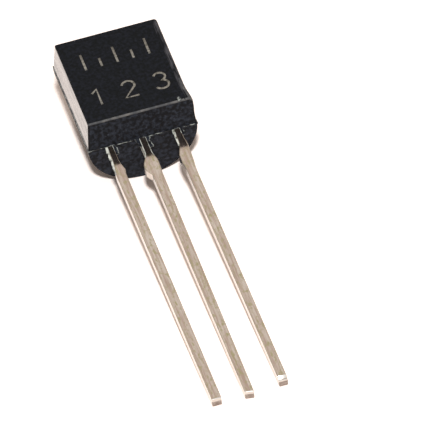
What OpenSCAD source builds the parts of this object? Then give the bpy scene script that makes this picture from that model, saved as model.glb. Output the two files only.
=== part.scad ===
/* [Housing] */
// Width of the moulding at its parting plane
body_w = 4.26; // [4.1:0.02:4.7]
// Height of the moulding at its parting plane
body_h = 4.82; // [4.5:0.02:4.9]
// Distance from the marked flat to the parting plane
front_depth = 1.24; // [1.15:0.01:1.4]
// Draft of the side walls of the front half, in degrees
side_draft = 5.5; // [3:0.5:8]
// Draft of the two end faces of the front half, in degrees
front_end_draft = 5.5; // [2:0.5:7]
// Draft of the two end faces of the back half, in degrees
back_end_draft = 3.5; // [2:0.5:6]
// Broken edge round the marked flat
flat_edge = 0.06; // [0.02:0.01:0.1]
// How far the back cavity is larger than the front one, all round
parting_step = 0.02; // [0.01:0.01:0.05]

/* [Flash and moulding marks] */
// Thickness of the flash fin left on the parting plane
flash_t = 0.03; // [0.02:0.01:0.06]
// How far the flash fin stands proud of the back half
flash_proud = 0.02; // [0.01:0.01:0.05]
// How far the web of flash beside each lead reaches out at its root
web_w = 0.17; // [0.1:0.01:0.24]
// Length of that web along the lead
web_l = 0.66; // [0.2:0.02:0.8]
// How far it still reaches out at its end
web_end_w = 0.12; // [0.04:0.01:0.18]
// Diameter of the ejector pin's mark on the round back
ejector_d = 1.2; // [0.9:0.1:1.3]
// Depth of the ejector mark below the crest of the back
ejector_depth = 0.11; // [0.11:0.01:0.15]
// Width of the gate's scar on the top end
gate_w = 0.8; // [0.5:0.1:1.2]
// Thickness of the gate's scar
gate_t = 0.2; // [0.12:0.02:0.3]
// How far the broken gate stands out of the top end
gate_proud = 0.04; // [0.02:0.01:0.06]

/* [Lead frame] */
// Spacing of the three leads
pitch = 1.28; // [1.25:0.01:1.32]
// Thickness of the strip that the frame is stamped from
lead_t = 0.38; // [0.34:0.01:0.42]
// Width of a lead's straight shank
lead_w = 0.37; // [0.32:0.01:0.42]
// Length of the longest lead, from the lead end of the moulding to its tip
lead_l = 14.12; // [12.7:0.02:14.5]
// How much shorter the emitter lead was cut
emitter_short = 0.12; // [0:0.02:0.4]
// How much shorter the collector lead was cut
collector_short = 0.22; // [0:0.02:0.4]
// Width of the neck between the moulding and the shoulder
neck_w = 0.28; // [0.22:0.01:0.32]
// Distance from the moulding to the start of the shoulder
neck_l = 0.86; // [0.8:0.02:1.1]
// Width of the shoulder left by the cut dam bar
shoulder_w = 0.46; // [0.44:0.01:0.56]
// Extra length of dam bar left on the outer side of the middle lead
dam_stub = 0.16; // [0:0.01:0.2]
// Length of the slope that widens the neck to the shoulder
shoulder_rise = 0.48; // [0.3:0.02:0.6]
// Length of the shoulder at its full width
shoulder_run = 0.36; // [0.3:0.02:0.6]
// Length of the slope that narrows the shoulder to the shank
shoulder_fall = 0.34; // [0.2:0.02:0.6]
// Roll-over that the shear leaves on the front edge of a tip
tip_roll = 0.05; // [0.02:0.01:0.08]
// Length of the cutter's bevel on the tip of the collector lead
bevel_l = 0.4; // [0.2:0.02:0.6]
// Depth of the cutter's bevel at the tip
bevel_depth = 0.14; // [0.08:0.01:0.2]

/* [Inside the moulding] */
// Width of the emitter's bonding post
post_w = 0.85; // [0.7:0.05:0.9]
// Height of the emitter's bonding post
post_h = 2.1; // [2:0.05:2.4]
// Height of the bonding posts' lower edges above the lead end
post_foot = 0.75; // [0.6:0.05:0.9]
// Width of the base's bonding post
base_post_w = 0.95; // [0.7:0.05:1]
// Height of the base's bonding post
base_post_h = 0.5; // [0.4:0.05:0.6]
// Gap between neighbouring pieces of the frame
frame_gap = 0.3; // [0.2:0.02:0.35]
// Width of the collector's die paddle
paddle_w = 2.2; // [1.8:0.05:2.3]
// Height of the collector's die paddle
paddle_h = 1.6; // [1.3:0.05:1.8]
// Outer overhang of a post or the paddle beyond its lead's centre line
post_out = 0.42; // [0.3:0.02:0.5]
// Diameter of the locking notches that the resin fills
notch_d = 0.3; // [0.2:0.02:0.36]
// Side of the square silicon die
die_w = 0.64; // [0.4:0.02:0.8]
// Thickness of the die
die_t = 0.2; // [0.15:0.01:0.28]
// Thickness of the bond layer under the die
attach_t = 0.03; // [0.02:0.01:0.05]
// How far the bond layer's fillet shows round the die
attach_rim = 0.05; // [0.03:0.01:0.08]
// Diameter of the bond wires
wire_d = 0.05; // [0.04:0.01:0.06]
// Diameter of the ball on the die
ball_d = 0.12; // [0.1:0.01:0.14]
// Height of the ball on the die
ball_h = 0.05; // [0.04:0.01:0.07]
// Diameter of the stitch foot on a post
stitch_d = 0.12; // [0.1:0.01:0.14]
// Thickness of the stitch foot
stitch_h = 0.02; // [0.02:0.01:0.03]
// Radius of the bend in a wire
bend_r = 0.12; // [0.1:0.01:0.15]
// Slope at which a wire comes down to its post, in degrees
wire_slope = 22; // [21:1:28]

/* [Hidden] */
$fn = 96;

// The housing's own frame: X along the row of leads, Y from the marked flat to
// the round back, Z away from the leads, with zero on the flat, in the middle,
// at the lead end of the parting plane.
back_r = body_w / 2;
front_inset = front_depth * tan(side_draft);
front_rise = front_depth * tan(front_end_draft);
back_rise = back_r * tan(back_end_draft);
crest_y = front_depth + back_r;
flash_top = body_h + flash_proud;
past = 1;

// The frame lies in the back half, with its front face in the parting plane.
lead_front = front_depth;
lead_back = front_depth + lead_t;

// Heights of the frame's steps, from the tips upwards.
shoulder_top = -neck_l - shoulder_rise;
shoulder_low = shoulder_top - shoulder_run;
shank_top = shoulder_low - shoulder_fall;
post_top = post_foot + post_h;
base_post_top = post_foot + base_post_h;
paddle_foot = base_post_top + frame_gap;
paddle_right = pitch + post_out;
paddle_left = paddle_right - paddle_w;
emitter_post_left = -pitch - post_out;

// The die sits in the middle of the paddle, and its two bonds side by side.
die_x = (paddle_left + pitch - post_out) / 2;
die_z = paddle_foot + paddle_h / 2;
attach_y = lead_front - attach_t;
die_y = attach_y - die_t;
bond_dx = die_w / 4;
emitter_bond = [die_x - bond_dx, die_z + bond_dx];
base_bond = [die_x - bond_dx, die_z - bond_dx];
emitter_foot = emitter_post_left + post_w / 2;
base_foot = post_foot + base_post_h / 2;

// At rest the part lies on the lead end of its round back and on its tips.
tip_z = -lead_l;
rest_tilt = atan((crest_y - lead_back) / (back_rise - tip_z));
rest_lift = crest_y * cos(rest_tilt) - back_rise * sin(rest_tilt);
far_end = (body_h - back_rise) * cos(rest_tilt) + crest_y * sin(rest_tilt);
near_end = (tip_z + tip_roll) * cos(rest_tilt) + lead_front * sin(rest_tilt);
near_roll = tip_z * cos(rest_tilt) + (lead_front + tip_roll) * sin(rest_tilt);
rest_shift = -(far_end + min(near_end, near_roll)) / 2;

// Lays the part down, with the leads along -Y and the marked flat upwards.
module at_rest() {
    translate([0, rest_shift, rest_lift])
        rotate([rest_tilt - 90, 0, 0])
            children();
}

// A flat outline in X and Z, given a thickness from one Y to another.
module plate(y_front, y_back) {
    translate([0, y_back, 0])
        rotate([90, 0, 0])
            linear_extrude(height = y_back - y_front)
                children();
}

// A side view in Y and Z, drawn out to both sides over a width.
module side_view(width) {
    translate([-width / 2, 0, 0])
        rotate([90, 0, 90])
            linear_extrude(height = width)
                children();
}

// Plan of one half of the housing, seen along the leads.
module front_plan() {
    half = body_w / 2 - parting_step;
    flat_half = half - front_inset;
    polygon([
        [-half, front_depth],
        [-flat_half - flat_edge * tan(side_draft), flat_edge],
        [-flat_half + flat_edge, 0],
        [flat_half - flat_edge, 0],
        [flat_half + flat_edge * tan(side_draft), flat_edge],
        [half, front_depth]
    ]);
}

module back_plan() {
    intersection() {
        translate([0, front_depth])
            circle(r = back_r);
        translate([-body_w, front_depth])
            square([2 * body_w, body_w]);
    }
}

// Side view of the front half, with both ends drafted towards the flat.
module front_side() {
    low = parting_step + front_rise;
    high = body_h - low;
    polygon([
        [front_depth, parting_step],
        [flat_edge, low - flat_edge * tan(front_end_draft)],
        [0, low + flat_edge],
        [0, high - flat_edge],
        [flat_edge, high + flat_edge * tan(front_end_draft)],
        [front_depth, body_h - parting_step]
    ]);
}

module back_side() {
    polygon([
        [front_depth, 0],
        [crest_y, back_rise],
        [crest_y, body_h - back_rise],
        [front_depth, body_h]
    ]);
}

// One half of the housing: its plan drawn along Z, within its side view.
module front_half() {
    intersection() {
        linear_extrude(height = body_h)
            front_plan();
        side_view(2 * body_w)
            front_side();
    }
}

module back_half() {
    intersection() {
        linear_extrude(height = body_h)
            back_plan();
        side_view(2 * body_w)
            back_side();
    }
}

// The fin of resin that crept between the halves of the mould.
module flash_fin() {
    wide = body_w + 2 * flash_proud;
    translate([-wide / 2, front_depth, -flash_proud])
        cube([wide, flash_t, flash_top + flash_proud]);
}

// The broken-off gate, through which the cavity was filled.
module gate_scar() {
    translate([-gate_w / 2, front_depth - gate_t / 2, body_h - past])
        cube([gate_w, gate_t, past + flash_proud + gate_proud]);
}

// The thin web of flash that stays in the corners beside a lead.
module flash_web(x) {
    root = neck_w / 2 + web_w;
    end = neck_w / 2 + web_end_w;
    plate(front_depth, front_depth + flash_t)
        translate([x, 0])
            polygon([
                [-root, past],
                [-root, -flash_proud],
                [-end, -web_l],
                [end, -web_l],
                [root, -flash_proud],
                [root, past]
            ]);
}

// The flat spot that the ejector pin leaves on the round back.
module ejector_mark() {
    translate([0, crest_y - ejector_depth, body_h / 2])
        rotate([-90, 0, 0])
            cylinder(d = ejector_d, h = past);
}

// Outline of a lead outside the moulding: neck, shoulder and straight shank.
// The stub is what is left of the dam bar on its left side.
module lead_outline(tip, stub) {
    polygon([
        [-neck_w / 2, 0],
        [-neck_w / 2, -neck_l],
        [-shoulder_w / 2 - stub, shoulder_top],
        [-shoulder_w / 2 - stub, shoulder_low],
        [-lead_w / 2, shank_top],
        [-lead_w / 2, tip],
        [lead_w / 2, tip],
        [lead_w / 2, shank_top],
        [shoulder_w / 2, shoulder_low],
        [shoulder_w / 2, shoulder_top],
        [neck_w / 2, -neck_l],
        [neck_w / 2, 0]
    ]);
}

// What the shear takes off the front edge of a tip.
module tip_cut(tip, long, deep) {
    side_view(2 * lead_w)
        polygon([
            [lead_front - past, tip - past],
            [lead_front + deep + past * deep / long, tip - past],
            [lead_front + deep, tip],
            [lead_front, tip + long],
            [lead_front - past, tip + long]
        ]);
}

// A lead with its tip sheared off, at its place in the row.
module bare_lead(x, tip, stub, cut_l, cut_depth) {
    translate([x, 0, 0])
        difference() {
            plate(lead_front, lead_back)
                lead_outline(tip, stub);
            tip_cut(tip, cut_l, cut_depth);
        }
}

// The neck as it runs on into the moulding, up to a post or the paddle.
module inner_neck(x, top) {
    translate([x - neck_w / 2, 0])
        square([neck_w, top]);
}

module notch(x, z) {
    translate([x, z])
        circle(d = notch_d);
}

module emitter_shape() {
    bare_lead(-pitch, tip_z + emitter_short, 0, tip_roll, tip_roll);
    plate(lead_front, lead_back)
        difference() {
            union() {
                inner_neck(-pitch, post_top - notch_d);
                translate([emitter_post_left, post_foot])
                    square([post_w, post_h]);
            }
            notch(emitter_post_left, post_foot + post_h / 2);
        }
}

module base_shape() {
    bare_lead(0, tip_z, dam_stub, tip_roll, tip_roll);
    plate(lead_front, lead_back)
        difference() {
            union() {
                inner_neck(0, base_post_top - notch_d);
                translate([-base_post_w / 2, post_foot])
                    square([base_post_w, base_post_h]);
            }
            notch(-base_post_w / 2, post_foot);
            notch(base_post_w / 2, post_foot);
        }
}

module collector_shape() {
    bare_lead(pitch, tip_z + collector_short, 0, bevel_l, bevel_depth);
    plate(lead_front, lead_back)
        difference() {
            union() {
                inner_neck(pitch, paddle_foot + notch_d);
                translate([pitch - post_out, post_foot])
                    square([2 * post_out, paddle_foot - post_foot + notch_d]);
                translate([paddle_left, paddle_foot])
                    square([paddle_w, paddle_h]);
            }
            notch(paddle_right, paddle_foot);
            notch(paddle_left, paddle_foot + paddle_h);
        }
}

module die_shape() {
    translate([die_x - die_w / 2, die_y, die_z - die_w / 2])
        cube([die_w, die_t, die_w]);
}

module attach_shape() {
    side = die_w + 2 * attach_rim;
    translate([die_x - side / 2, attach_y, die_z - side / 2])
        cube([side, attach_t, side]);
}

// A bond wire from its ball on the die to its stitch on a post, over a run
// along X and a drop along Y. It leaves the ball square to the die, bends over
// and comes down straight to the stitch.
module wire_shape(run) {
    straight = (run - bend_r - bend_r * sin(wire_slope)) / cos(wire_slope);
    rise = straight * sin(wire_slope) - bend_r * cos(wire_slope);
    bend_y = lead_front - wire_d / 2 - rise;
    translate([0, die_y - ball_h, 0])
        rotate([-90, 0, 0])
            cylinder(d = ball_d, h = ball_h);
    translate([0, bend_y, 0])
        rotate([-90, 0, 0])
            cylinder(d = wire_d, h = die_y - ball_h / 2 - bend_y);
    translate([bend_r, bend_y, 0])
        rotate([0, 0, 180])
            rotate_extrude(angle = 90 + wire_slope)
                translate([bend_r, 0])
                    circle(d = wire_d);
    translate([bend_r, bend_y, 0])
        rotate([0, 0, wire_slope - 90])
            translate([bend_r, 0, 0])
                rotate([-90, 0, 0])
                    cylinder(d = wire_d, h = straight);
    translate([run, lead_front - stitch_h, 0])
        rotate([-90, 0, 0])
            cylinder(d = stitch_d, h = stitch_h);
}

// The emitter's wire runs straight across to its post, the base's straight down.
module emitter_wire_shape() {
    translate([emitter_bond[0], 0, emitter_bond[1]])
        rotate([0, 180, 0])
            wire_shape(emitter_bond[0] - emitter_foot);
}

module base_wire_shape() {
    translate([base_bond[0], 0, base_bond[1]])
        rotate([0, 90, 0])
            wire_shape(base_bond[1] - base_foot);
}

// The moulding fills every space round the frame, the die and the wires.
module housing() {
    color("#26252a")
        at_rest()
            difference() {
                union() {
                    front_half();
                    back_half();
                    flash_fin();
                    gate_scar();
                    for (x = [-pitch, 0, pitch])
                        flash_web(x);
                }
                ejector_mark();
                emitter_shape();
                base_shape();
                collector_shape();
                attach_shape();
                die_shape();
                emitter_wire_shape();
                base_wire_shape();
            }
}

module emitter_lead() {
    color("#c9bba8")
        at_rest()
            emitter_shape();
}

module base_lead() {
    color("#c9bba8")
        at_rest()
            base_shape();
}

module collector_lead() {
    color("#c9bba8")
        at_rest()
            collector_shape();
}

module silicon_die() {
    color("#5b6270")
        at_rest()
            die_shape();
}

module die_attach() {
    color("#b9bcc0")
        at_rest()
            attach_shape();
}

module emitter_wire() {
    color("#d9a441")
        at_rest()
            emitter_wire_shape();
}

module base_wire() {
    color("#d9a441")
        at_rest()
            base_wire_shape();
}

housing();
emitter_lead();
base_lead();
collector_lead();
silicon_die();
die_attach();
emitter_wire();
base_wire();
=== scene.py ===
import math
import random

import bmesh
import bpy
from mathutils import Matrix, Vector


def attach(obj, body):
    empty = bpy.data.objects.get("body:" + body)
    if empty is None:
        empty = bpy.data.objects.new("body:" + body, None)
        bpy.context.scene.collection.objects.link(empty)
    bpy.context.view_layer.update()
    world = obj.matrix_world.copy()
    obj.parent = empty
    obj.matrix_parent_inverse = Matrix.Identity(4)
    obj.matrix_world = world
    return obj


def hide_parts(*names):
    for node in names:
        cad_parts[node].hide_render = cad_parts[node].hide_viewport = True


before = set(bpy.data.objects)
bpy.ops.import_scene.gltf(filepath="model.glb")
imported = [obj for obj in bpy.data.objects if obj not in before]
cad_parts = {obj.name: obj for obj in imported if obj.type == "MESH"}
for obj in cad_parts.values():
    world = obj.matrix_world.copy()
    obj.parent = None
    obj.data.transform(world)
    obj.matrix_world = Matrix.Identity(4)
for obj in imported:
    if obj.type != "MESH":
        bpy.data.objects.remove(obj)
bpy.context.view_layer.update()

random.seed(92)

# Housing: one moulding of black filled epoxy, pressed in a two-part mould.
# The front half is a drafted block with the marked flat, the back half is
# half a cylinder, and the two meet at the parting line with a small step.
BODY_W = 4.26  # across the sides, at the parting plane
BODY_H = 4.82  # from the lead end to the top end
FRONT = 1.24  # from the flat to the parting plane
STEP = 0.02  # the front half is this much smaller on every side
SIDE_DRAFT = math.tan(math.radians(5.5))
FRONT_END_DRAFT = math.tan(math.radians(5.5))
BACK_END_DRAFT = math.tan(math.radians(3.5))
EDGE = 0.06  # rounding of the front half's edges
ROUND_EDGE = 0.14  # rounder edge on the right of the flat
RIM = 0.02  # rounding of the back half's rims
SIDE_WALL = 1.9  # points of the side walls all lie further out than this
LEAD_END = 0.3  # and points of the lead end lower than this
NEAR = 0.01  # slack when points are picked by their place
MATT, POLISHED, ROUGH_END, WORN_AND_HIGHLIGHT, RUBBED_AND_SHEEN, TORN_AND_GLINT, PALE_AND_HIGHLIGHT = range(7)

# Each new piece is shaped in mm as if the housing stood on its lead end:
# x to the right of the flat, y from the flat to the back, and z up. It is
# then laid down in metres, the way the part rests on its back and tips.
MM = 0.001
TILT = 7.00113  # degrees between the leads and the floor
LIFT = 3.32899  # height of the origin above the floor
SHIFT = 4.39598  # and its place along the floor


def linear(hex_code):
    """An sRGB hex colour as linear RGBA."""
    c = [int(hex_code[i : i + 2], 16) / 255 for i in (0, 2, 4)]
    c = [x / 12.92 if x <= 0.04045 else ((x + 0.055) / 1.055) ** 2.4 for x in c]
    return (*c, 1.0)


COLOR_A, COLOR_B, COLOR_OUT = 6, 7, 2  # the sockets of a Mix node for colours


def add(m, kind, inputs=None, out=0, **settings):
    """Adds a node: sockets among its inputs are linked, the rest are values."""
    n = m.node_tree.nodes.new("ShaderNode" + kind)
    for k, v in settings.items():
        setattr(n, k, v)
    for socket, source in (inputs or {}).items():
        if isinstance(source, bpy.types.NodeSocket):
            m.node_tree.links.new(source, n.inputs[socket])
        else:
            n.inputs[socket].default_value = source
    return n.outputs[out] if n.outputs else n


def material(name):
    """An empty material, with the object coordinates that its patterns read."""
    m = bpy.data.materials.new(name)
    m.use_nodes = True
    m.node_tree.nodes.clear()
    return m, add(m, "TexCoord", out="Object")


def drawn_out(m, place, across, along):
    """Coordinates that run with the leads, with a scale across and along them."""
    turned = add(m, "Mapping", {"Vector": place, "Rotation": (math.radians(90 - TILT), 0, 0)})
    return add(m, "Mapping", {"Vector": turned, "Scale": (across, across, along)})


# Matt epoxy: spark-eroded mould walls give a fine dull grain, near black.
# The grain is a few hundredths wide, and is drawn at 9 to the mm to show.
matt, place = material("matt_black_epoxy")
grain = add(matt, "TexNoise", {"Vector": place, "Scale": 9 / MM, "Detail": 3.0})
spread = add(matt, "MapRange", {"Value": grain, "From Min": 0.4, "From Max": 0.68})
tone = add(matt, "Mix", {
    0: spread, COLOR_A: linear("030405"), COLOR_B: linear("14161d"),
}, COLOR_OUT, data_type="RGBA")
bump = add(matt, "Bump", {"Height": grain, "Strength": 0.6, "Distance": 0.02 * MM})
shader = add(matt, "BsdfPrincipled", {
    "Base Color": tone, "Roughness": 0.5, "IOR": 1.2, "Normal": bump,
})
add(matt, "OutputMaterial", {"Surface": shader})

# Polished epoxy: the mould's side walls are polished to let the part go, so
# a clear skin of resin shines on them, streaked the way the steel was rubbed.
# The streaks are microns wide, and are drawn at 7 to the mm to show.
polished, place = material("polished_black_epoxy")
cloud = add(polished, "TexNoise", {
    "Vector": drawn_out(polished, place, 7 / MM, 0.9 / MM), "Scale": 1.0, "Detail": 3.0,
})
spread = add(polished, "MapRange", {"Value": cloud, "From Min": 0.4, "From Max": 0.65})
tone = add(polished, "Mix", {
    0: spread, COLOR_A: linear("252324"), COLOR_B: linear("68625e"),
}, COLOR_OUT, data_type="RGBA")
rough = add(polished, "MapRange", {
    "Value": cloud, "From Min": 0.35, "From Max": 0.65, "To Min": 0.4, "To Max": 0.2,
})
shader = add(polished, "BsdfPrincipled", {
    "Base Color": tone, "Roughness": rough, "IOR": 1.5,
    "Coat Weight": 0.6, "Coat Roughness": 0.18, "Coat IOR": 1.5,
    "Sheen Weight": 0.25, "Sheen Roughness": 0.3,
})
add(polished, "OutputMaterial", {"Surface": shader})

# Rough end: the resin flows round the leads here and leaves a mottled face,
# in patches of a seventh of a millimetre with lighter grains of a ninth.
rough_end, place = material("mottled_black_epoxy")
grain = add(rough_end, "TexNoise", {"Vector": place, "Scale": 9 / MM, "Detail": 2.0})
cloud = add(rough_end, "TexNoise", {"Vector": place, "Scale": 7 / MM, "Detail": 6.0})
spread = add(rough_end, "MapRange", {"Value": cloud, "From Min": 0.42, "From Max": 0.68})
tone = add(rough_end, "Mix", {
    0: spread, COLOR_A: linear("05060a"), COLOR_B: linear("2a2e37"),
}, COLOR_OUT, data_type="RGBA")
spread = add(rough_end, "MapRange", {"Value": grain, "From Min": 0.64, "From Max": 0.76})
tone = add(rough_end, "Mix", {
    0: spread, COLOR_A: tone, COLOR_B: linear("3c3f49"),
}, COLOR_OUT, data_type="RGBA")
bump = add(rough_end, "Bump", {"Height": cloud, "Strength": 0.6, "Distance": 0.03 * MM})
shader = add(rough_end, "BsdfPrincipled", {
    "Base Color": tone, "Roughness": 0.7, "IOR": 1.25, "Normal": bump,
})
add(rough_end, "OutputMaterial", {"Surface": shader})

# Worn edge: handling rubs the resin skin off and shows the grey filler, in
# patches of about 0.3 mm. The grey also stands as a painted highlight along
# the flat's lower edge and the foot of its right edge.
worn_and_highlight, place = material("worn_epoxy_and_painted_highlight")
patches_and_highlight = add(worn_and_highlight, "TexNoise", {"Vector": place, "Scale": 3.5 / MM, "Detail": 3.0})
spread = add(worn_and_highlight, "MapRange", {"Value": patches_and_highlight, "From Min": 0.4, "From Max": 0.62})
tone = add(worn_and_highlight, "Mix", {
    0: spread, COLOR_A: linear("2e2f32"), COLOR_B: linear("5a5856"),
}, COLOR_OUT, data_type="RGBA")
shader = add(worn_and_highlight, "BsdfPrincipled", {"Base Color": tone, "Roughness": 0.6, "IOR": 1.45})
add(worn_and_highlight, "OutputMaterial", {"Surface": shader})

# Rubbed edge: the skin is only dulled, in streaks over a wider band, and
# their lighter grey is also a painted sheen by the flat's right edge. The
# streaks are less than a tenth wide and half a millimetre long.
rubbed_and_sheen, place = material("rubbed_epoxy_and_painted_sheen")
haze_and_sheen = add(rubbed_and_sheen, "TexNoise", {
    "Vector": drawn_out(rubbed_and_sheen, place, 14 / MM, 2.2 / MM), "Scale": 1.0, "Detail": 3.0,
})
spread = add(rubbed_and_sheen, "MapRange", {"Value": haze_and_sheen, "From Min": 0.42, "From Max": 0.66})
tone = add(rubbed_and_sheen, "Mix", {
    0: spread, COLOR_A: linear("08090c"), COLOR_B: linear("444347"),
}, COLOR_OUT, data_type="RGBA")
shader = add(rubbed_and_sheen, "BsdfPrincipled", {"Base Color": tone, "Roughness": 0.5, "IOR": 1.2})
add(rubbed_and_sheen, "OutputMaterial", {"Surface": shader})

# Torn flash: resin a few hundredths thick breaks off ragged with a pale
# broken edge, and pale painted glints stand on it every sixth of a
# millimetre or so.
torn_and_glint, place = material("torn_flash_and_painted_glints")
painted_glint = add(torn_and_glint, "TexNoise", {"Vector": place, "Scale": 6 / MM, "Detail": 2.0})
spread = add(torn_and_glint, "MapRange", {"Value": painted_glint, "From Min": 0.44, "From Max": 0.6})
tone = add(torn_and_glint, "Mix", {
    0: spread, COLOR_A: linear("15171a"), COLOR_B: linear("9ba09b"),
}, COLOR_OUT, data_type="RGBA")
shader = add(torn_and_glint, "BsdfPrincipled", {"Base Color": tone, "Roughness": 0.5, "IOR": 1.4})
add(torn_and_glint, "OutputMaterial", {"Surface": shader})

# Resin bleed: clear resin without filler creeps out along the corners of
# each neck and dries there as a pale film, patchy at a fifth of a
# millimetre. Its pale tone also paints highlights along the neck edges.
bled_and_highlight, place = material("pale_bleed_and_painted_highlight")
patch_and_highlight = add(bled_and_highlight, "TexNoise", {"Vector": place, "Scale": 5 / MM, "Detail": 3.0})
spread = add(bled_and_highlight, "MapRange", {"Value": patch_and_highlight, "From Min": 0.34, "From Max": 0.54})
tone = add(bled_and_highlight, "Mix", {
    0: spread, COLOR_A: linear("64665c"), COLOR_B: linear("dadcd3"),
}, COLOR_OUT, data_type="RGBA")
shader = add(bled_and_highlight, "BsdfPrincipled", {"Base Color": tone, "Roughness": 0.5, "IOR": 1.45})
add(bled_and_highlight, "OutputMaterial", {"Surface": shader})

EPOXY = (matt, polished, rough_end, worn_and_highlight, rubbed_and_sheen, torn_and_glint, bled_and_highlight)


def active(obj):
    """Selects one object alone and makes it the active one."""
    bpy.ops.object.select_all(action="DESELECT")
    obj.select_set(True)
    bpy.context.view_layer.objects.active = obj
    return obj


def primitive(finishes=()):
    """The primitive just added, its place applied, with its materials."""
    obj = active(bpy.context.object)
    bpy.ops.object.transform_apply(location=True, rotation=True, scale=True)
    for m in finishes:
        obj.data.materials.append(m)
    return obj


def lie_down(obj, name):
    """Turns a piece, modelled in mm in the housing's frame, to its rest in metres."""
    active(obj)
    obj.rotation_euler = (math.radians(TILT - 90), 0, 0)
    obj.scale = (MM, MM, MM)
    obj.location = (0, SHIFT * MM, LIFT * MM)
    bpy.ops.object.transform_apply(location=True, rotation=True, scale=True)
    obj.name = name
    obj.data.name = name
    return obj


def select(kind, keep):
    """Selects the vertices, edges or faces whose points keep() takes."""
    bpy.ops.mesh.select_mode(type=kind)
    bpy.ops.mesh.select_all(action="DESELECT")
    mesh = bmesh.from_edit_mesh(bpy.context.object.data)
    for e in {"VERT": mesh.verts, "EDGE": mesh.edges, "FACE": mesh.faces}[kind]:
        points = [e.co] if kind == "VERT" else [v.co for v in e.verts]
        e.select_set(all(keep(p) for p in points))
    bmesh.update_edit_mesh(bpy.context.object.data)


def sharp_edges(angle, keep):
    """Selects the edges sharper than an angle whose two ends keep() takes."""
    bpy.ops.mesh.select_mode(type="EDGE")
    bpy.ops.mesh.select_all(action="DESELECT")
    mesh = bmesh.from_edit_mesh(bpy.context.object.data)
    for e in mesh.edges:
        if len(e.link_faces) == 2 and e.calc_face_angle(0) > math.radians(angle):
            e.select_set(keep(*(v.co for v in e.verts)))
    bmesh.update_edit_mesh(bpy.context.object.data)


def finish_faces(finish, keep):
    """Gives the faces that keep() takes one of the object's materials."""
    select("FACE", keep)
    bpy.context.object.active_material_index = finish
    bpy.ops.object.material_slot_assign()


def cut(at, normal, away=True):
    """Bisects the mesh in edit mode, and clears and closes the normal's side."""
    bpy.ops.mesh.select_all(action="SELECT")
    bpy.ops.mesh.bisect(
        plane_co=at, plane_no=normal, use_fill=away, clear_outer=away
    )


def block(centre, size, finishes=EPOXY):
    """A block at its place and size, open in edit mode."""
    bpy.ops.mesh.primitive_cube_add(size=1, location=centre, scale=size)
    obj = primitive(finishes)
    bpy.ops.object.mode_set(mode="EDIT")
    return obj


# Front half: all four sides are drafted and the side walls are polished. The
# edge below the flat is worn, the one on its right is rubbed, and its lowest
# 1.3 mm are worn too. The worn grey also paints a highlight along these
# edges, and the rubbed grey a sheen on the band by the right edge.
RUBBED_SHEEN_FROM = 1.78
WORN_HIGHLIGHT_DEPTH = 0.03
WORN_HIGHLIGHT_HEIGHT = 1.3
front = block((0, FRONT / 2, BODY_H / 2), (BODY_W - 2 * STEP, FRONT, BODY_H - 2 * STEP))
for side in (-1, 1):
    cut((side * (BODY_W / 2 - STEP), FRONT, 0), (side, -SIDE_DRAFT, 0))
cut((0, FRONT, STEP), (0, -FRONT_END_DRAFT, -1))
cut((0, FRONT, BODY_H - STEP), (0, -FRONT_END_DRAFT, 1))
for side in (-1, 1):
    finish_faces(POLISHED, lambda p: p.x * side > SIDE_WALL)
finish_faces(ROUGH_END, lambda p: p.z < LEAD_END)
sharp_edges(30, lambda a, b: max(a.y, b.y) < EDGE and min(a.x, b.x) > SIDE_WALL)
bpy.ops.mesh.bevel(offset=ROUND_EDGE, segments=8, affect="EDGES", material=RUBBED_AND_SHEEN)
sharp_edges(50, lambda a, b: min(a.y, b.y) < FRONT - EDGE)
bpy.ops.mesh.bevel(offset=EDGE, segments=4, affect="EDGES", material=MATT)
cut((RUBBED_SHEEN_FROM, 0, 0), (1, 0, 0), away=False)
finish_faces(RUBBED_AND_SHEEN, lambda p: p.x > RUBBED_SHEEN_FROM - NEAR and p.y < NEAR)
finish_faces(WORN_AND_HIGHLIGHT, lambda p: p.y < ROUND_EDGE + 2 * NEAR and p.z < LEAD_END)
cut((0, 0, WORN_HIGHLIGHT_HEIGHT), (0, 0, 1), away=False)
finish_faces(WORN_AND_HIGHLIGHT, lambda p: (
    p.x > RUBBED_SHEEN_FROM + EDGE and p.y < WORN_HIGHLIGHT_DEPTH and p.z < WORN_HIGHLIGHT_HEIGHT + NEAR
))

# At the lower right corner of the flat the resin has crept a little way out
# of the mould. The walls there are cut finer first, so that they bulge.
CREPT = 0.08
CREPT_REACH = 0.8
CORNER = (1.85, 0.3, 0.17)
for height in (0.2, 0.4, 0.6, 0.8, 1.0):
    cut((0, 0, height), (0, 0, 1), away=False)
for depth in (0.25, 0.5, 0.75):
    cut((0, depth, 0), (0, 1, 0), away=False)
select("VERT", lambda p: p.x > CORNER[0] and p.y < CORNER[1] and p.z < CORNER[2])
bpy.ops.transform.translate(
    value=(CREPT, 0, 0),
    use_proportional_edit=True,
    proportional_edit_falloff="SMOOTH",
    proportional_size=CREPT_REACH,
)
bpy.ops.mesh.select_all(action="SELECT")
bpy.ops.mesh.quads_convert_to_tris()
bpy.ops.object.mode_set(mode="OBJECT")

# Back half: half of a cylinder, made a little too long and then cut to its
# drafted ends.
SPARE = 1
bpy.ops.mesh.primitive_cylinder_add(
    vertices=256, radius=BODY_W / 2, depth=BODY_H + SPARE, location=(0, FRONT, BODY_H / 2)
)
back = primitive(EPOXY)
bpy.ops.object.mode_set(mode="EDIT")
cut((0, FRONT, 0), (0, -1, 0))
cut((0, FRONT, 0), (0, BACK_END_DRAFT, -1))
cut((0, FRONT, BODY_H), (0, BACK_END_DRAFT, 1))
finish_faces(ROUGH_END, lambda p: p.z < LEAD_END)
sharp_edges(60, lambda a, b: min(a.y, b.y) > FRONT - NEAR and max(a.y, b.y) > FRONT + NEAR)
bpy.ops.mesh.bevel(offset=RIM, segments=3, affect="EDGES")
bpy.ops.object.mode_set(mode="OBJECT")


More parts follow.
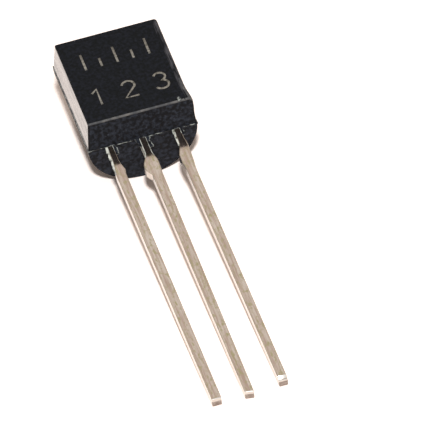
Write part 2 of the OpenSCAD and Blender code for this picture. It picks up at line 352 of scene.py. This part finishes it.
def combine(obj, other, operation):
    """Adds another closed mesh to an object, or takes it away."""
    tool = active(obj).modifiers.new("tool", "BOOLEAN")
    tool.operation = operation
    tool.solver = "MANIFOLD"
    tool.object = other
    bpy.ops.object.modifier_apply(modifier="tool")
    bpy.data.objects.remove(other)


# An ejector pin has left its round flat in the middle of the back.
EJECTOR_D = 1.2
EJECTOR_L = 1
EJECTOR_DEPTH = 0.11
bpy.ops.mesh.primitive_cylinder_add(
    vertices=64,
    radius=EJECTOR_D / 2,
    depth=EJECTOR_L,
    location=(0, FRONT + BODY_W / 2 - EJECTOR_DEPTH + EJECTOR_L / 2, BODY_H / 2),
    rotation=(math.radians(90), 0, 0),
)
combine(back, primitive(EPOXY), "DIFFERENCE")
combine(front, back, "UNION")

# Knocks have chipped two grains of filler out of the flat near the corner
# where the resin crept out. Their pale flecks are partly painted glints.
CHIPS = ((1.59, 0.24, 0.11), (1.78, 0.1, 0.1))  # x, z and radius of each
for seed, (x, z, size) in enumerate(CHIPS):
    bpy.ops.mesh.primitive_ico_sphere_add(
        subdivisions=2, radius=size, location=(x, -size / 2, z), scale=(0.8, 1, 1.3)
    )
    chip = primitive(EPOXY)
    bpy.ops.object.mode_set(mode="EDIT")
    bpy.ops.mesh.select_all(action="SELECT")
    bpy.ops.transform.vertex_random(offset=size / 5, seed=seed)
    finish_faces(TORN_AND_GLINT, lambda p: True)
    bpy.ops.object.mode_set(mode="OBJECT")
    combine(front, chip, "DIFFERENCE")

# Flash: a torn fin all round on the parting plane, a web in the corner
# beside each lead, and the broken-off gate on the top end.
FLASH_T = 0.03
FLASH_AHEAD = 0.004  # the fin's front lies this far before the parting plane
FLASH_PROUD = 0.02
LEFT_PROUD = 0.005  # the left wall's fin has broken off shorter
FIN_W = 0.1  # most of a fin's width is buried in the housing
WEB_T = 0.02
WEB_DEPTH = 0.018  # from the parting plane to the middle of a web
WEB_ROOT = 0.1  # a web is buried this deep in the lead end
WEB_LAP = 0.04  # and this deep in the lead beside it
WEB_TORN = 0.5  # the tears take up to this share of its reach
TOOTH = 0.1  # length of one torn step along an edge


def torn_bar(centre, size, out, depth, rim, inner=ROUGH_END):
    """A thin bar of flash, torn up to depth deep on the side that out points to.

    A rim there has the torn finish with its painted glints, and the rest of its front the inner
    one.
    """
    along, across = (2, 0) if out[0] else (0, 2)

    def reach(p):
        return (p[across] - centre[across]) * out[across]

    bar = block(centre, size)
    root = size[across] / 2 - rim
    cut([c + root * o for c, o in zip(centre, out)], out, away=False)
    finish_faces(TORN_AND_GLINT, lambda p: True)
    finish_faces(inner, lambda p: p.y < centre[1] and reach(p) < root + rim / 2)
    sharp_edges(-1, lambda a, b: abs(a[along] - b[along]) > size[along] / 2)
    bpy.ops.mesh.subdivide(number_cuts=max(6, round(size[along] / TOOTH)))
    bpy.ops.object.mode_set(mode="OBJECT")
    teeth = {}
    for v in bar.data.vertices:
        if reach(v.co) > 0:
            tooth = teeth.setdefault(round(v.co[along], 3), random.uniform(0, 1) ** 2)
            v.co[across] -= out[across] * depth * tooth
    return bar


fin_y = FRONT + FLASH_T / 2 - FLASH_AHEAD
left, right = -BODY_W / 2, BODY_W / 2 + FLASH_PROUD
flash = [
    torn_bar(
        (left - LEFT_PROUD + FIN_W / 2, fin_y, BODY_H / 2), (FIN_W, FLASH_T, BODY_H),
        (-1, 0, 0), depth=0.008, rim=0.01, inner=POLISHED,
    ),
    torn_bar(
        (right - FIN_W / 2, fin_y, BODY_H / 2), (FIN_W, FLASH_T, BODY_H + 2 * FLASH_PROUD),
        (1, 0, 0), depth=0.018, rim=0.018,
    ),
]
for edge, out in ((-FLASH_PROUD, -1), (BODY_H + FLASH_PROUD, 1)):
    centre = ((left + right) / 2, fin_y, edge - out * FIN_W / 2)
    size = (right - left, FLASH_T, FIN_W)
    flash.append(torn_bar(centre, size, (0, 0, out), depth=0.03, rim=0.018))

# x of the neck's corner, the web's reach from it and length down it, the
# width of its torn rim, and the finish inside that.
# The pale webs down the left of the emitter and collector necks also paint highlights on those
# sides.
WEBS = (
    (-1.42, -0.11, 1.5, 0.02, PALE_AND_HIGHLIGHT),
    (-1.16, 0.12, 0.5, 0.035, ROUGH_END),
    (-0.165, -0.15, 0.42, 0.035, ROUGH_END),
    (0.115, 0.16, 0.58, 0.035, ROUGH_END),
    (1.18, -0.08, 0.9, 0.02, PALE_AND_HIGHLIGHT),
    (1.44, 0.12, 0.4, 0.035, ROUGH_END),
)
for neck, reach, length, rim, inner in WEBS:
    side = math.copysign(1, reach)
    x = neck + (reach - side * WEB_LAP) / 2
    centre = (x, FRONT + WEB_DEPTH, (WEB_ROOT - length) / 2)
    size = (abs(reach) + WEB_LAP, WEB_T, WEB_ROOT + length)
    flash.append(torn_bar(centre, size, (side, 0, 0), abs(reach) * WEB_TORN, rim, inner))

# The gate broke off rough and a little narrower than it runs in.
GATE = (0.8, 0.2, 0.08)  # half of its height stands proud
GATE_ROUGH = 0.012
gate = block((0, FRONT, BODY_H), GATE)
gate_top = BODY_H + GATE[2] / 2
select("FACE", lambda p: p.z > gate_top - NEAR)
bpy.ops.transform.resize(value=(0.96, 0.8, 1), center_override=(0, FRONT, gate_top))
bpy.ops.mesh.subdivide(number_cuts=4)
bpy.ops.transform.vertex_random(offset=GATE_ROUGH, seed=7)
bpy.ops.mesh.select_all(action="SELECT")
bpy.ops.mesh.quads_convert_to_tris()
bpy.ops.object.mode_set(mode="OBJECT")
for piece in (*flash, gate):
    combine(front, piece, "UNION")

# The rounded edges are shaded smooth, and the large faces stay flat.
active(front)
bpy.ops.object.shade_smooth_by_angle(angle=math.radians(25))
front.modifiers.new("flat", "WEIGHTED_NORMAL").keep_sharp = True
bpy.ops.object.modifier_apply(modifier="flat")
housing = lie_down(front, "epoxy_housing")
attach(housing, "root")
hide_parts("housing")

# Mark: a laser has burnt plain pin numbers and a scale of ticks into the
# flat. The burnt resin is a pale grey and stands a few microns proud.
MARK_W = 0.095
MARK_PROUD = 0.004
NUMERAL_X = {"1": -1.24, "2": 0.0, "3": 1.22}  # each above its lead
NUMERAL_Z = 1.0
TICK_Z = 2.95
TICK_PITCH = 0.62
LONG_TICK, SHORT_TICK = 0.85, 0.45


def arc(centre, radius, start, end, steps=14):
    """Points along an arc, from one angle to another in degrees."""
    angles = [math.radians(start + (end - start) * i / steps) for i in range(steps + 1)]
    (x, z), (rx, rz) = centre, radius
    return [(x + rx * math.cos(a), z + rz * math.sin(a)) for a in angles]


# Points of each numeral, in mm from the middle of its foot.
NUMERALS = {
    "1": [(-0.16, 0.66), (0.06, 0.85), (0.06, 0.0)],
    "2": arc((0, 0.62), (0.24, 0.23), 165, -35) + [(-0.25, 0.0), (0.27, 0.0)],
    "3": arc((0, 0.64), (0.22, 0.21), 155, -80) + arc((0, 0.22), (0.26, 0.22), 80, -155),
}


def mark_stroke(points):
    """One burnt line through points on the flat, as a low flattened bead."""
    curve = bpy.data.curves.new("stroke", "CURVE")
    curve.dimensions = "3D"
    curve.bevel_depth = MARK_W / 2
    curve.bevel_resolution = 2
    curve.use_fill_caps = True
    line = curve.splines.new("POLY")
    line.points.add(len(points) - 1)
    for point, (x, z) in zip(line.points, points):
        point.co = (x, 0, z, 1)
    stroke = bpy.data.objects.new("stroke", curve)
    bpy.context.scene.collection.objects.link(stroke)
    active(stroke)
    bpy.ops.object.convert(target="MESH")
    stroke = bpy.context.object
    stroke.scale = (1, MARK_PROUD / (MARK_W / 2), 1)
    return primitive()


strokes = []
for numeral, x in NUMERAL_X.items():
    strokes.append(mark_stroke([(x + u, NUMERAL_Z + v) for u, v in NUMERALS[numeral]]))
for tick in range(-2, 3):
    x = tick * TICK_PITCH
    height = SHORT_TICK if tick % 2 else LONG_TICK
    strokes.append(mark_stroke([(x, TICK_Z), (x, TICK_Z + height)]))
active(strokes[0])
for stroke in strokes:
    stroke.select_set(True)
bpy.ops.object.join()
bpy.ops.object.mode_set(mode="EDIT")
bpy.ops.mesh.select_all(action="SELECT")
bpy.ops.mesh.remove_doubles(threshold=0.0001)
bpy.ops.object.mode_set(mode="OBJECT")
mark = lie_down(bpy.context.object, "pin_number_mark")

# Burnt epoxy: the beam chars the resin to a dull grey froth. Its speckle of
# microns is drawn at 9 to the mm to show.
burnt, place = material("laser_burnt_epoxy")
speckle = add(burnt, "TexNoise", {"Vector": place, "Scale": 9 / MM, "Detail": 3.0})
spread = add(burnt, "MapRange", {"Value": speckle, "From Min": 0.35, "From Max": 0.6})
tone = add(burnt, "Mix", {
    0: spread, COLOR_A: linear("4b4841"), COLOR_B: linear("858077"),
}, COLOR_OUT, data_type="RGBA")
shader = add(burnt, "BsdfPrincipled", {"Base Color": tone, "Roughness": 0.7, "IOR": 1.45})
add(burnt, "OutputMaterial", {"Surface": shader})
mark.data.materials.append(burnt)
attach(mark, "root")

# Leads: stamped side by side from one strip of copper alloy, then tinned.
# The press rolls their front edges over, and the dam bar that joined them
# while the housing was moulded is cut away to a shoulder on each.
LEAD_T = 0.38
LEAD_EDGE = 0.03  # roll-over along the edges
POST_FOOT = 0.75  # the widening inside the housing that holds a lead in
CROPPED_END = 0.12  # the finishes of the cut tip reach this far up
CLEAN_CUT = 0.14  # the blade shears this much of the thickness, then tears
FACE, SHEARED, ROLLED, BLED_AND_HIGHLIGHT, CROPPED_AND_SHADOW = range(5)

# Tin: dipped or plated, dull-bright, drawn out into faint lines along the
# strip, with small dull specks and a few warm patches where it is thin.
# The lines are microns wide, and are drawn at 12 to the mm to show.
tin, place = material("tinned_copper_alloy")
lines = add(tin, "TexNoise", {
    "Vector": drawn_out(tin, place, 12 / MM, 0.9 / MM), "Scale": 1.0, "Detail": 3.0,
})
specks = add(tin, "TexNoise", {
    "Vector": drawn_out(tin, place, 9 / MM, 4.5 / MM), "Scale": 1.0, "Detail": 3.0,
})
spread = add(tin, "MapRange", {"Value": lines, "From Min": 0.35, "From Max": 0.65})
tone = add(tin, "Mix", {
    0: spread, COLOR_A: linear("b29b8b"), COLOR_B: linear("cbbcae"),
}, COLOR_OUT, data_type="RGBA")
spread = add(tin, "MapRange", {"Value": specks, "From Min": 0.5, "From Max": 0.7})
tone = add(tin, "Mix", {
    0: spread, COLOR_A: tone, COLOR_B: linear("a99e7a"),
}, COLOR_OUT, data_type="RGBA")
rough = add(tin, "MapRange", {
    "Value": lines, "From Min": 0.3, "From Max": 0.7, "To Min": 0.08, "To Max": 0.16,
})
bump = add(tin, "Bump", {"Height": lines, "Strength": 0.15, "Distance": 0.004 * MM})
shader = add(tin, "BsdfPrincipled", {
    "Base Color": tone, "Metallic": 1.0, "Roughness": rough, "Normal": bump,
})
add(tin, "OutputMaterial", {"Surface": shader})

# Sheared sides: the punch leaves fine lines across the edge, and they
# scatter the light more than the rolled faces do. They are microns wide too,
# and are drawn at 9 to the mm.
sheared, place = material("sheared_tinned_edge")
lines = add(sheared, "TexNoise", {
    "Vector": drawn_out(sheared, place, 0.6 / MM, 9 / MM), "Scale": 1.0, "Detail": 2.0,
})
spread = add(sheared, "MapRange", {"Value": lines, "From Min": 0.35, "From Max": 0.65})
tone = add(sheared, "Mix", {
    0: spread, COLOR_A: linear("c9c3bb"), COLOR_B: linear("d2cfca"),
}, COLOR_OUT, data_type="RGBA")
bump = add(sheared, "Bump", {"Height": lines, "Strength": 0.3, "Distance": 0.006 * MM})
shader = add(sheared, "BsdfPrincipled", {
    "Base Color": tone, "Metallic": 1.0, "Roughness": 0.2, "Normal": bump,
})
add(sheared, "OutputMaterial", {"Surface": shader})

# Rolled corners: the tin is thinnest there, so the copper alloy darkens it
# in patches of a third of a millimetre.
rolled, place = material("rolled_copper_corner")
thin = add(rolled, "TexNoise", {"Vector": place, "Scale": 3 / MM, "Detail": 3.0})
spread = add(rolled, "MapRange", {"Value": thin, "From Min": 0.35, "From Max": 0.65})
tone = add(rolled, "Mix", {
    0: spread, COLOR_A: linear("9c8d7c"), COLOR_B: linear("bbad9c"),
}, COLOR_OUT, data_type="RGBA")
shader = add(rolled, "BsdfPrincipled", {"Base Color": tone, "Metallic": 1.0, "Roughness": 0.5})
add(rolled, "OutputMaterial", {"Surface": shader})

# Cropped end: the blade leaves bare copper alloy, torn over most of the cut
# into dull hollows of about a sixth of a millimetre. Its dark tone is partly
# painted shadow under the tip.
cropped_and_shadow, place = material("bare_copper_end_and_painted_shadow")
tear = add(cropped_and_shadow, "TexNoise", {"Vector": place, "Scale": 6 / MM, "Detail": 3.0})
spread = add(cropped_and_shadow, "MapRange", {"Value": tear, "From Min": 0.35, "From Max": 0.65})
tone = add(cropped_and_shadow, "Mix", {
    0: spread, COLOR_A: linear("857a72"), COLOR_B: linear("a09790"),
}, COLOR_OUT, data_type="RGBA")
shader = add(cropped_and_shadow, "BsdfPrincipled", {"Base Color": tone, "Metallic": 1.0, "Roughness": 0.4})
add(cropped_and_shadow, "OutputMaterial", {"Surface": shader})


def stamped_lead(outline):
    """A strip that follows an outline of (height, left, right), from the top."""
    (z, left, right), *rest = outline
    bpy.ops.mesh.primitive_plane_add(
        size=1, location=((left + right) / 2, FRONT + LEAD_T / 2, z)
    )
    bpy.context.object.scale = (right - left, LEAD_T, 1)
    lead = primitive((tin, sheared, rolled, bled_and_highlight, cropped_and_shadow))
    bpy.ops.object.mode_set(mode="EDIT")
    bpy.ops.mesh.select_all(action="SELECT")
    width, centre = right - left, (left + right) / 2
    for z_new, left, right in rest:
        step = ((left + right) / 2 - centre, 0, z_new - z)
        bpy.ops.mesh.extrude_region_move(TRANSFORM_OT_translate={"value": step})
        z, centre = z_new, (left + right) / 2
        bpy.ops.transform.resize(
            value=((right - left) / width, 1, 1), center_override=(centre, FRONT, z)
        )
        width = right - left
    bpy.ops.mesh.select_all(action="SELECT")
    bpy.ops.mesh.normals_make_consistent(inside=False)
    mesh = bmesh.from_edit_mesh(lead.data)
    for f in mesh.faces:
        f.material_index = FACE if abs(f.normal.y) > 0.9 else SHEARED
    bmesh.update_edit_mesh(lead.data)
    return lead


def finish_lead(lead, name, node, bleed):
    """Rolls a lead's edges and gives its neck, down to bleed, and tip their finish."""
    sharp_edges(40, lambda a, b: min(a.z, b.z) < POST_FOOT)
    bpy.ops.mesh.bevel(offset=LEAD_EDGE, segments=3, affect="EDGES", material=ROLLED)
    mesh = bmesh.from_edit_mesh(lead.data)
    tip = min(v.co.z for v in mesh.verts)
    # The neck's sides and rolled edges, down to bleed, take the pale bleed finish, which also
    # paints highlights there.
    for f in mesh.faces:
        if f.material_index != FACE and all(v.co.z > -bleed - NEAR for v in f.verts):
            f.material_index = BLED_AND_HIGHLIGHT
        elif f.normal.y > -0.99 and all(v.co.z < tip + CROPPED_END for v in f.verts):
            f.material_index = SHEARED
    bmesh.update_edit_mesh(lead.data)
    torn_from = FRONT + CLEAN_CUT
    # The torn part of the tip's end takes the darker finish, which is partly painted shadow
    # under the tip.
    cut((0, torn_from, 0), (0, 1, 0), away=False)
    finish_faces(CROPPED_AND_SHADOW, lambda p: p.z < tip + CROPPED_END and p.y > torn_from - NEAR)
    bpy.ops.mesh.select_all(action="SELECT")
    bpy.ops.mesh.dissolve_degenerate(threshold=0.001)
    bpy.ops.object.mode_set(mode="OBJECT")
    bpy.ops.object.shade_smooth_by_angle(angle=math.radians(14))
    lie_down(lead, name)
    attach(lead, "root")
    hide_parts(node)


# Emitter lead: its bonding post inside the moulding, a plain neck, and low
# shoulders where the dam bar was cut away.
lead = stamped_lead([
    (2.85, -1.70, -0.85), (POST_FOOT, -1.70, -0.85), (POST_FOOT, -1.42, -1.16),
    (-0.30, -1.42, -1.17), (-0.76, -1.42, -1.18), (-1.05, -1.44, -1.14),
    (-1.32, -1.47, -1.075), (-1.42, -1.48, -1.08), (-1.54, -1.49, -1.115),
    (-14.00, -1.45, -1.08),
])
finish_lead(lead, "emitter_lead_tinned", "emitter_lead", 0.3)

# Base lead: a short post, and a stub of dam bar left on one shoulder. The
# blade has cropped its tip a little askew.
lead = stamped_lead([
    (1.25, -0.475, 0.475), (POST_FOOT, -0.475, 0.475), (POST_FOOT, -0.165, 0.115),
    (-0.85, -0.165, 0.115), (-1.05, -0.23, 0.15), (-1.25, -0.325, 0.205),
    (-1.42, -0.385, 0.21), (-1.56, -0.39, 0.205), (-1.70, -0.37, 0.20),
    (-1.84, -0.31, 0.19), (-2.00, -0.215, 0.175), (-14.12, -0.20, 0.14),
])
cut((-0.2, 0, -14.05), (-0.19, 0, -1))  # the askew tip
finish_lead(lead, "base_lead_tinned", "base_lead", 1.05)

# Collector lead: its paddle reaches over the middle and carries the die, and
# the dam bar left shoulders on both sides. The cutter has nicked its tip.
NICK_TOP, NICK_FOOT = -13.72, -13.82
NICK_DEPTH = 0.08
lead = stamped_lead([
    (3.15, -0.50, 1.70), (1.55, -0.50, 1.70), (1.55, 0.86, 1.70),
    (POST_FOOT, 0.86, 1.70), (POST_FOOT, 1.18, 1.44), (-0.30, 1.18, 1.445),
    (-0.60, 1.18, 1.45), (-0.80, 1.17, 1.48), (-1.00, 1.13, 1.49),
    (-1.20, 1.06, 1.485), (-1.36, 1.01, 1.475), (-1.80, 1.01, 1.455),
    (-2.00, 1.04, 1.44), (-2.30, 1.06, 1.42), (NICK_TOP, 1.158, 1.499),
    (NICK_FOOT, 1.159, 1.499), (-13.90, 1.16, 1.50),
])
select("VERT", lambda p: p.y < FRONT + NEAR and p.z < NICK_FOOT + NEAR)
bpy.ops.transform.translate(value=(0, NICK_DEPTH, 0))
finish_faces(SHEARED, lambda p: (
    p.y < FRONT + NICK_DEPTH + NEAR and NICK_FOOT - NEAR < p.z < NICK_TOP + NEAR
))
finish_lead(lead, "collector_lead_tinned", "collector_lead", 0.3)

# Inside the moulding, where nothing shows: a silicon die is soldered to the
# collector's paddle, and gold wires are welded from it to the two posts.

# Silicon: cut from a polished wafer, so it shines cold and dark. Its pattern
# of microns is drawn at 9 to the mm to show.
silicon, place = material("polished_silicon")
cells = add(silicon, "TexVoronoi", {"Vector": place, "Scale": 9 / MM})
spread = add(silicon, "MapRange", {"Value": cells, "From Min": 0.1, "From Max": 0.6})
tone = add(silicon, "Mix", {
    0: spread, COLOR_A: linear("3b404b"), COLOR_B: linear("6b7484"),
}, COLOR_OUT, data_type="RGBA")
shader = add(silicon, "BsdfPrincipled", {"Base Color": tone, "Roughness": 0.15, "IOR": 1.6})
add(silicon, "OutputMaterial", {"Surface": shader})

# Die solder: dull silver, with the marks of its flow at 6 to the mm.
solder, place = material("die_solder")
flow = add(solder, "TexNoise", {"Vector": place, "Scale": 6 / MM})
spread = add(solder, "MapRange", {"Value": flow, "From Min": 0.3, "From Max": 0.7})
tone = add(solder, "Mix", {
    0: spread, COLOR_A: linear("a3a5a8"), COLOR_B: linear("c9cbcd"),
}, COLOR_OUT, data_type="RGBA")
shader = add(solder, "BsdfPrincipled", {"Base Color": tone, "Metallic": 1.0, "Roughness": 0.35})
add(solder, "OutputMaterial", {"Surface": shader})

# Gold: drawn through a die, so it is bright with faint lines. They are microns
# wide, and are drawn at 12 to the mm to show.
gold, place = material("drawn_gold_wire")
sheen = add(gold, "TexNoise", {"Vector": place, "Scale": 12 / MM})
spread = add(gold, "MapRange", {"Value": sheen, "From Min": 0.3, "From Max": 0.7})
tone = add(gold, "Mix", {
    0: spread, COLOR_A: linear("e2b04a"), COLOR_B: linear("f5cf7c"),
}, COLOR_OUT, data_type="RGBA")
shader = add(gold, "BsdfPrincipled", {"Base Color": tone, "Metallic": 1.0, "Roughness": 0.2})
add(gold, "OutputMaterial", {"Surface": shader})

inside = {
    "silicon_die": silicon, "die_attach": solder, "emitter_wire": gold, "base_wire": gold,
}
for name, m in inside.items():
    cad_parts[name].data.materials.clear()
    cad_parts[name].data.materials.append(m)

# Floor: a sheet of warm white card. Seen straight on or in the metal it is
# white, and what it throws back on the part is a little warm.
CARD = linear("f8f2ed")
CARD_SEEN = (1.32, 1.2, 1.14, 1)  # beyond white, so that only its shadows show


def as_seen(m):
    """1 for what the camera sees straight on, in a mirror or through glass."""
    seen = add(m, "LightPath", out="Is Camera Ray")
    for ray in ("Is Glossy Ray", "Is Transmission Ray"):
        other = add(m, "LightPath", out=ray)
        seen = add(m, "Math", {0: seen, 1: other}, operation="MAXIMUM")
    return seen


bpy.ops.mesh.primitive_plane_add(size=2, location=(0, 0, 0))
floor = primitive()
floor.name = "floor"
card, place = material("white_card")
tone = add(card, "Mix", {
    0: as_seen(card), COLOR_A: CARD, COLOR_B: CARD_SEEN,
}, COLOR_OUT, data_type="RGBA")
shader = add(card, "BsdfPrincipled", {"Base Color": tone, "Roughness": 1.0, "IOR": 1.0})
add(card, "OutputMaterial", {"Surface": shader})
floor.data.materials.append(card)

# Light: a warm room, brightest high up behind the part, and one lamp above
# the camera. Seen straight on or in the metal the room is plain white.
BRIGHTEST = (0.12, 0.6, 0.79)
TO_LAMP = (-0.1, -0.65, 0.753)
world = bpy.data.worlds.new("studio")
bpy.context.scene.world = world
world.use_nodes = True
world.node_tree.nodes.clear()
way = add(world, "TexCoord", out="Generated")
toward = add(world, "VectorMath", {0: way, 1: BRIGHTEST}, "Value", operation="DOT_PRODUCT")
strength = add(world, "MapRange", {
    "Value": toward, "From Min": 0.35, "From Max": 0.95, "To Min": 0.12, "To Max": 0.6,
})
room = add(world, "Background", {"Color": linear("fff1e6"), "Strength": strength})
backdrop = add(world, "Background", {"Color": linear("ffffff"), "Strength": 1.0})
either = add(world, "MixShader", {0: as_seen(world), 1: room, 2: backdrop})
add(world, "OutputWorld", {"Surface": either})
sun = bpy.data.lights.new("lamp", "SUN")
sun.energy = 3.2
sun.angle = math.radians(4.5)  # wide enough for soft shadow edges
lamp = bpy.data.objects.new("lamp", sun)
bpy.context.scene.collection.objects.link(lamp)
lamp.rotation_euler = Vector(TO_LAMP).to_track_quat("Z", "Y").to_euler()

# Camera: far off with a long lens, so that the leads hardly taper. It looks
# down on the flat from beyond the tips, a little from the left.
cam = bpy.data.cameras.new("camera")
cam.lens = 1503.126
cam.sensor_width = 36
cam.clip_start = 0.1
cam.clip_end = 5
camera = bpy.data.objects.new("camera", cam)
bpy.context.scene.collection.objects.link(camera)
camera.location = (-0.09517352, -0.51492313, 0.41465712)
camera.rotation_euler = [math.radians(a) for a in (51.426396, 6.556957, -15.828871)]
bpy.context.scene.camera = camera
bpy.context.scene.view_settings.view_transform = "Standard"
